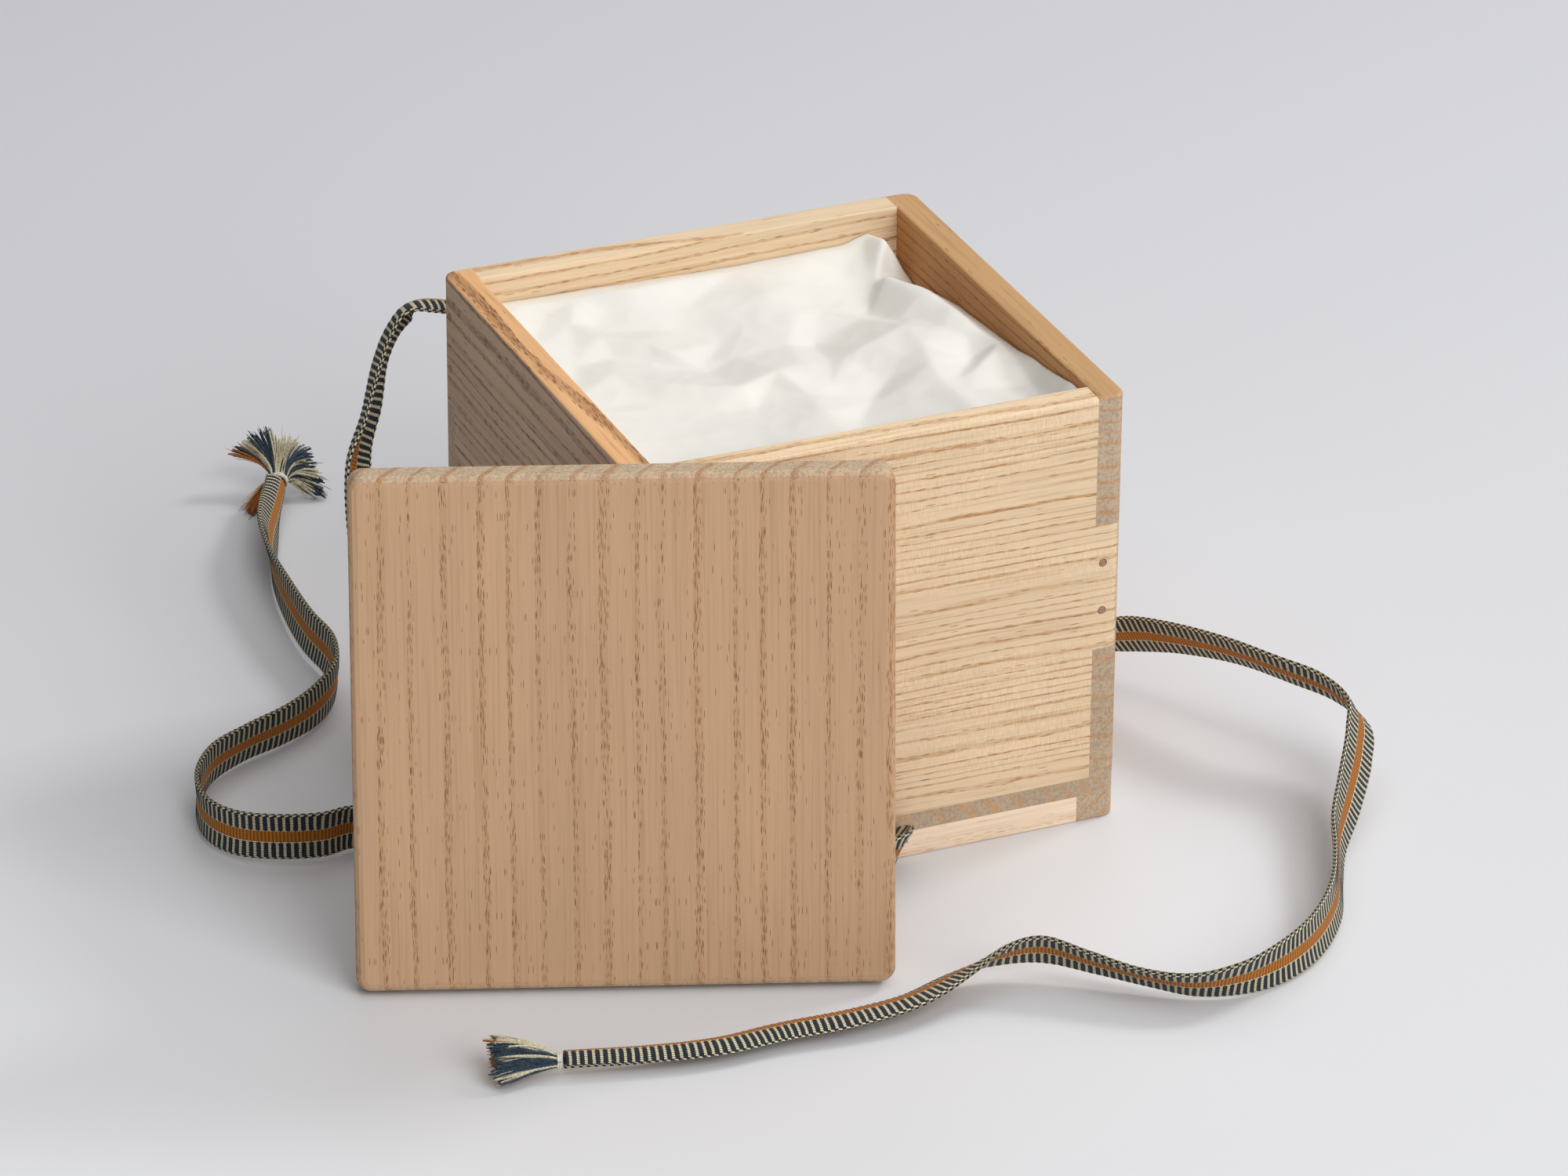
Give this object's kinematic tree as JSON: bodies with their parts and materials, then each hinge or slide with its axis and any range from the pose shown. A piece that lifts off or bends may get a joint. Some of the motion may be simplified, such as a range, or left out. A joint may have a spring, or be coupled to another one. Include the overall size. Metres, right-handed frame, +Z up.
{
  "type": "wooden storage box",
  "caption": "Pegged wooden keepsake box on low feet, with a lift-off framed lid leaning on it, a paper wrap inside and a flat woven tie cord lying round it.",
  "frame": {"origin": "on the floor, at the middle of the footprint of the box and the leaning lid together, without the cord", "axes": "+Z up, -Y out of the box's front wall, +X to the right of someone facing the front wall"},
  "size_m": [0.3489, 0.449, 0.1568],
  "materials": {
    "wall_wood": "planed, unfinished, satin",
    "bottom_wood": "planed, unfinished, matte",
    "lid_wood": "planed, unfinished, satin",
    "peg_wood": "whittled, matte",
    "paper": "crumpled thin paper, soft sheen",
    "cord_weave": "flat cotton weave, matte",
    "tie_thread": "whipped cotton thread, matte"
  },
  "bodies": {
    "box": {"side_wall_left": "wall_wood", "side_wall_right": "wall_wood", "front_wall": "wall_wood", "back_wall": "wall_wood", "bottom_board": "bottom_wood", "foot_left": "wall_wood", "foot_right": "wall_wood", "foot_front": "wall_wood", "foot_back": "wall_wood", "peg_front_1": "peg_wood", "peg_front_2": "peg_wood", "peg_front_3": "peg_wood", "peg_front_4": "peg_wood", "peg_back_1": "peg_wood", "peg_back_2": "peg_wood", "peg_back_3": "peg_wood", "peg_back_4": "peg_wood", "peg_left_1": "peg_wood", "peg_left_2": "peg_wood", "peg_left_3": "peg_wood", "peg_left_4": "peg_wood", "peg_left_5": "peg_wood", "peg_left_6": "peg_wood", "peg_left_7": "peg_wood", "peg_left_8": "peg_wood", "peg_right_1": "peg_wood", "peg_right_2": "peg_wood", "peg_right_3": "peg_wood", "peg_right_4": "peg_wood", "peg_right_5": "peg_wood", "peg_right_6": "peg_wood", "peg_right_7": "peg_wood", "peg_right_8": "peg_wood", "peg_foot_1": "peg_wood", "peg_foot_2": "peg_wood", "peg_foot_3": "peg_wood", "peg_foot_4": "peg_wood", "peg_foot_5": "peg_wood", "peg_foot_6": "peg_wood", "peg_foot_7": "peg_wood", "peg_foot_8": "peg_wood", "cord_front_end": "cord_weave", "cord_under_front_back": "cord_weave", "cord_loop": "cord_weave", "cord_under_left_right": "cord_weave", "cord_right_end": "cord_weave", "tie_front_end": "tie_thread", "tie_right_end": "tie_thread", "fringe_front_end": "cord_weave", "fringe_right_end": "cord_weave"},
    "lid": {"lid_board": "lid_wood", "lid_batten_left": "lid_wood", "lid_batten_right": "lid_wood", "lid_batten_lower": "lid_wood", "lid_batten_upper": "lid_wood"},
    "wrap": {"wrapping_paper": "paper"}
  },
  "joints": [
    {"name": "lid_lift", "type": "slide", "parent": "box", "child": "lid", "axis": [0, 0, 1], "range_m": [0, 0.16]},
    {"name": "wrap_lift", "type": "slide", "parent": "box", "child": "wrap", "axis": [0, 0, 1], "range_m": [0, 0.16]}
  ]
}
